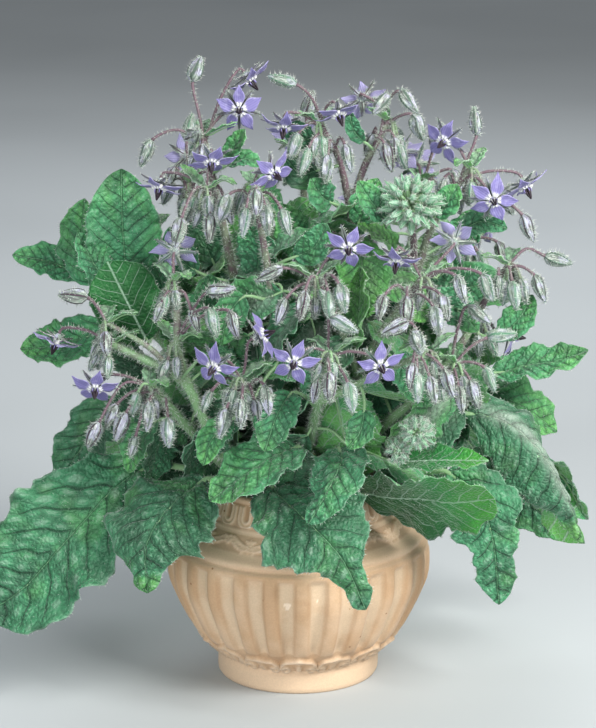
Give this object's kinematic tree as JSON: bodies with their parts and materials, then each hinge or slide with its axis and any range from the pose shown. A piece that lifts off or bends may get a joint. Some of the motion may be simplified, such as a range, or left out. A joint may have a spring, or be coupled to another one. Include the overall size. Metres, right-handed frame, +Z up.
{
  "type": "potted borage",
  "caption": "Borage plant in flower with drooping star-shaped blooms, hairy buds and broad wrinkled leaves, growing in a fluted round clay pot.",
  "frame": {"origin": "centre of the pot's foot, on the surface that the pot stands on", "axes": "+Z up the pot's axis of revolution; -Y towards the front, the side that the plant shows best; +X to the right seen from the front"},
  "size_m": [0.3149, 0.2321, 0.3244],
  "materials": {
    "terracotta": "unglazed fired clay, buff to tan, matte",
    "potting_soil": "dark crumbly potting soil, matte",
    "leaf": "wrinkled living leaf, softly matte with fine hairs",
    "stem": "pale green to purple-brown bristly stem, calyx and bud, matte",
    "petal": "violet-blue thin petal, soft satin, with a dark anther cone"
  },
  "bodies": {
    "root": {"pot": "terracotta", "leaf_left_wide": "leaf", "leaf_left_front": "leaf", "leaf_front": "leaf", "leaf_right_flat": "leaf", "leaf_right_hanging": "leaf", "leaf_right_folded": "leaf", "leaf_right_low": "leaf", "leaf_left_low": "leaf", "leaf_centre_light": "leaf", "leaf_centre_dark": "leaf", "leaf_rear_left": "leaf", "leaf_rear_middle": "leaf", "leaf_rear_right": "leaf", "leaf_right_side": "leaf", "stem_left": "stem", "bloom_left_1": "petal", "bloom_left_2": "petal", "stem_left_low": "stem", "bloom_left_low_1": "petal", "stem_centre_low": "stem", "bloom_centre_low_1": "petal", "bloom_centre_low_2": "petal", "stem_front": "stem", "bloom_front_1": "petal", "bloom_front_2": "petal", "stem_right": "stem", "bloom_right_1": "petal", "stem_middle_right": "stem", "bloom_middle_right_1": "petal", "bloom_middle_right_2": "petal", "bloom_middle_right_3": "petal", "stem_top_right": "stem", "bloom_top_right_1": "petal", "bloom_top_right_2": "petal", "bloom_top_right_3": "petal", "stem_top_middle": "stem", "bloom_top_middle_1": "petal", "bloom_top_middle_2": "petal", "bloom_top_middle_3": "petal", "bloom_top_middle_4": "petal", "stem_top_left": "stem", "bloom_top_left_1": "petal", "bloom_top_left_2": "petal", "bloom_top_left_3": "petal", "bloom_top_left_4": "petal", "stem_centre": "stem", "bloom_centre_1": "petal", "stem_rear_left": "stem", "bloom_rear_left_1": "petal", "bloom_rear_left_2": "petal", "stem_rear_middle": "stem", "bloom_rear_middle_1": "petal", "bloom_rear_middle_2": "petal", "stem_rear_right": "stem", "bloom_rear_right_1": "petal", "bloom_rear_right_2": "petal", "leafy_shoot_left": "stem", "soil": "potting_soil"}
  },
  "joints": []
}
